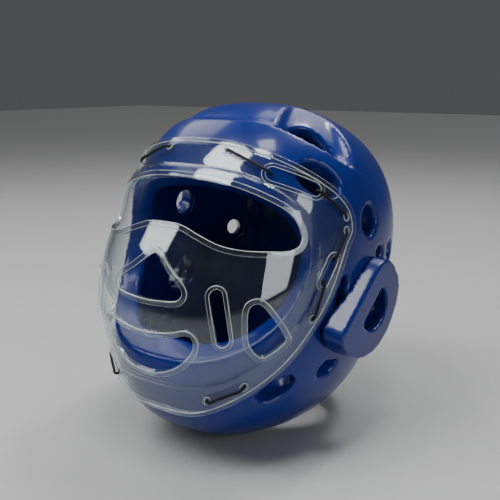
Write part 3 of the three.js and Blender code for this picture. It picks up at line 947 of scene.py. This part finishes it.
def make_shield(finish):
    outline = symmetric_loop(RIM_SHAPE, RIM, 300)
    shoulder = oval_share(SHOULDER, outline[:, 0], outline[:, 1])
    shares = []
    for share in shoulder:
        inner, outer = (1 - SHOULDER_BLEND / 2) / share, (1 + SHOULDER_BLEND / 2) / share
        dome = even_rows(0, inner, SHEET_ROWS["dome"])
        step = even_rows(inner, outer, SHEET_ROWS["step"])
        flange = even_rows(outer, 1, SHEET_ROWS["flange"])
        shares.append(np.concatenate([dome, step, flange]))
    sheet = layered("clear_shield", outline, (0, SHOULDER["level"]), shares,
                    lambda across, up: on_shield(across, up, 0),
                    lambda across, up: on_shield(across, up, SHIELD_THICKNESS))
    deep, proud = FOAM_WALL / 2, FOAM_WALL + SHIELD_BULGE
    eyes_middle = (0, EYES["bottom"] + EYES["height"] / 2)
    mouth_middle = (0, MOUTH["bottom"] + MOUTH["height"] / 2)
    cutters = [plug("eyes", symmetric_loop(EYES_SHAPE, EYES, 160), deep, proud, eyes_middle, 8),
               plug("nose", symmetric_loop(NOSE_SHAPE, NOSE, 64), deep, proud),
               plug("mouth", symmetric_loop(MOUTH_SHAPE, MOUTH, 96), deep, proud, mouth_middle)]
    side = [plug("cheek", cheek_loop(64), deep, proud)]
    side += [plug("shield_slot", slot_loop(slot, 48), deep, proud) for slot in SHIELD_SLOTS]
    side += [plug("eyelet", eyelet_loop(across, up, 16), deep, proud, rings=1)
             for across, up in EYELETS]
    cut(sheet, cutters + side + [twin(cutter, cutter.name + "_right") for cutter in side])
    smooth_shade(sheet)
    set_sheet_normals(sheet)
    coat(sheet, finish)
    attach(sheet, "root")
    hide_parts("face_shield")
    return sheet


def bead_profile(width, height):
    """Section of a rounded band: out along the sheet, height off it, and the weight of the painted
    highlight, 1 in the middle of a bend.
    """
    radius = min(BEAD_ROUND, width / 2, height)
    bend = np.linspace(0, np.pi / 2, 6)
    top = SHIELD_THICKNESS + height - radius
    side = width - radius + radius * np.cos(bend)
    far = np.stack([side, top + radius * np.sin(bend), np.sin(2 * bend)], -1)
    near = far[::-1] * [-1, 1, 1] + [width, 0, 0]
    foot = [[0, -BEAD_SINK, 0], [width, -BEAD_SINK, 0]]
    loop = np.vstack([far, near, foot])
    return loop[:, 0] - BEAD_OVERHANG, loop[:, 1], loop[:, 2]


def make_bead(name, loop, width, height, inward=1):
    """A bead along one edge; inward is 1 round an opening and -1 on the rim."""
    count = len(loop)
    ahead, behind = np.roll(loop, -1, 0), np.roll(loop, 1, 0)
    here = on_shield(loop[:, 0], loop[:, 1], 0)
    along = on_shield(ahead[:, 0], ahead[:, 1], 0) - on_shield(behind[:, 0], behind[:, 1], 0)
    along = along / np.linalg.norm(along, axis=1)[:, None]
    rise = on_shield(loop[:, 0], loop[:, 1], 1.0) - here
    rise = rise - along * np.sum(rise * along, 1)[:, None]
    rise = rise / np.linalg.norm(rise, axis=1)[:, None]
    outward = np.cross(along, rise) * inward
    out, top, highlight_weight = bead_profile(width, height)
    steps = len(out)

    def place(around, section):
        column = np.rint(around * count).astype(int) % count
        row = np.rint(section * steps).astype(int) % steps
        spot = here[column] + outward[column] * out[row][:, None] + rise[column] * top[row][:, None]
        return at_rest(spot)

    # Weight of the painted highlight at each point of the section
    def mark(around, section):
        return highlight_weight[np.rint(section * steps).astype(int) % steps]

    piece = web(name, count, steps, place, mark)
    close_seams(piece, 0.000001)
    return piece


def make_beads(finish):
    middle = [
        ("rim_bead", symmetric_loop(RIM_SHAPE, RIM, 400), -1),
        ("eye_bead", symmetric_loop(EYES_SHAPE, EYES, 240), 1),
        ("nose_bead", symmetric_loop(NOSE_SHAPE, NOSE, 90), 1),
        ("mouth_bead", symmetric_loop(MOUTH_SHAPE, MOUTH, 130), 1),
    ]
    beads = [make_bead(name, loop, BEAD_WIDTH, BEAD_HEIGHT, inward) for name, loop, inward in middle]
    for sign in (1, -1):
        side = [("cheek_bead", cheek_loop(80), BEAD_WIDTH)]
        side += [("slot_bead", slot_loop(slot, 72), SLOT_BEAD_WIDTH) for slot in SHIELD_SLOTS]
        for name, loop, width in side:
            beads.append(make_bead(name, loop if sign > 0 else mirrored_loop(loop), width, BEAD_HEIGHT))
        for across, up in EYELETS:
            ring = eyelet_loop(sign * across, up, 20)
            beads.append(make_bead("eyelet_bead", ring, EYELET_BEAD_WIDTH, EYELET_BEAD_HEIGHT))
    bpy.ops.object.select_all(action="DESELECT")
    for bead in beads:
        bead.select_set(True)
    bpy.context.view_layer.objects.active = beads[0]
    bpy.ops.object.join()
    joined = bpy.context.object
    joined.name = joined.data.name = "shield_beads"
    smooth_shade(joined, angle=40)
    coat(joined, finish)
    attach(joined, "root")


# Lashes
def make_lash(name, start, end, side, finish):
    """An elastic cord that comes up through the shield at each end and lies over it between."""
    start, end = np.array(start, float), np.array(end, float)
    over = SHIELD_THICKNESS + CORD_RADIUS + CORD_CLEARANCE
    crest = over + CORD_CREST
    shares = np.array([0, 0.10, 0.24, 0.5, 0.76, 0.90, 1])
    heights = np.array([SHIELD_THICKNESS, crest, over, over, over, crest, SHIELD_THICKNESS])
    spots = start + (end - start) * shares[:, None]
    above = on_shield(spots[:, 0], spots[:, 1], heights)
    first, last = [over_shell(*spot, 0, CORD_SEAT + CORD_RADIUS) for spot in (start, end)]
    points = np.vstack([first, above, last])
    knots = np.linspace(0, 1, len(points))
    fine = np.linspace(0, 1, CORD_STEPS + 1)
    path = np.stack([np.interp(fine, knots, points[:, i]) for i in range(3)], -1)
    for _ in range(CORD_PASSES):
        path[1:-1] = (path[:-2] + 2 * path[1:-1] + path[2:]) / 4
    path[:, 0] *= side
    along = np.gradient(path, axis=0)
    along /= np.linalg.norm(along, axis=1)[:, None]
    out = path / np.linalg.norm(path, axis=1)[:, None]
    across = np.cross(along, out)
    across /= np.linalg.norm(across, axis=1)[:, None]
    rise = np.cross(across, along)

    def place(run, around):
        row = np.rint(run * (CORD_STEPS + 2)).astype(int) - 1
        closing = ((row >= 0) & (row <= CORD_STEPS))[:, None]
        row = np.clip(row, 0, CORD_STEPS)
        angle = 2 * np.pi * around
        ring = across[row] * np.cos(angle)[:, None] + rise[row] * np.sin(angle)[:, None]
        return at_rest(path[row] + ring * CORD_RADIUS * closing)

    cord = web(name + "_cord", CORD_STEPS + 2, CORD_SIDES, place)
    close_seams(cord, 0.00001)
    smooth_shade(cord, angle=50)
    coat(cord, finish)
    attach(cord, "root")
    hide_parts(name)


# Camera, lights and floor
def set_camera():
    side, back, height = CAMERA_PLACE
    eye = Vector((side, back + HEAD_BACK, height)) * MM
    backward = Vector(CAMERA_BACKWARD).normalized()
    right = Vector(CAMERA_RIGHT).normalized()
    upward = backward.cross(right)
    data = bpy.data.cameras.new("photo_view")
    data.sensor_width = SENSOR_WIDTH
    data.lens = SENSOR_WIDTH * FOCAL_PIXELS / PHOTO_PIXELS
    data.clip_start = 0.01
    camera = bpy.data.objects.new("photo_view", data)
    turn = Matrix((right, upward, backward)).transposed()
    camera.matrix_world = Matrix.Translation(eye) @ turn.to_4x4()
    bpy.context.collection.objects.link(camera)
    bpy.context.scene.camera = camera


def add_light(name, place, width, height, power, colour):
    data = bpy.data.lights.new(name, "AREA")
    data.shape = "RECTANGLE"
    data.size, data.size_y = width, height
    data.energy = power
    data.color = colour
    lamp = bpy.data.objects.new(name, data)
    lamp.location = place
    lamp.rotation_euler = (Vector(place) - Vector(LIGHT_AIM)).to_track_quat("Z", "Y").to_euler()
    bpy.context.collection.objects.link(lamp)


def set_studio():
    for name, settings in LIGHTS.items():
        add_light(name, *settings)
    sun = bpy.data.lights.new("back_sun", "SUN")
    sun.energy, sun.angle = SUN_POWER, SUN_WIDTH
    lamp = bpy.data.objects.new("back_sun", sun)
    lamp.rotation_euler = Vector(SUN_WAY).to_track_quat("Z", "Y").to_euler()
    bpy.context.collection.objects.link(lamp)
    world = bpy.data.worlds.new("studio_air")
    world.use_nodes = True
    air = world.node_tree.nodes["Background"]
    air.inputs["Color"].default_value = STUDIO_AIR
    air.inputs["Strength"].default_value = AIR_STRENGTH
    bpy.context.scene.world = world
    bpy.ops.object.select_all(action="DESELECT")
    bpy.ops.mesh.primitive_plane_add(size=12)
    floor = bpy.context.object
    floor.name = floor.data.name = "studio_floor"
    floor.data.materials.append(floor_finish())


set_camera()
set_studio()
foam = foam_finish()
make_foam_shell(foam)
make_ear_pads(foam)
make_shield(clear_finish("clear_sheet", **SHEET_CLEAR))
make_beads(clear_finish("clear_bead", **BEAD_CLEAR))
elastic = cord_finish()
for label, (first, last) in LASHES.items():
    make_lash(f"lash_{label}_left", first, last, 1, elastic)
    make_lash(f"lash_{label}_right", first, last, -1, elastic)
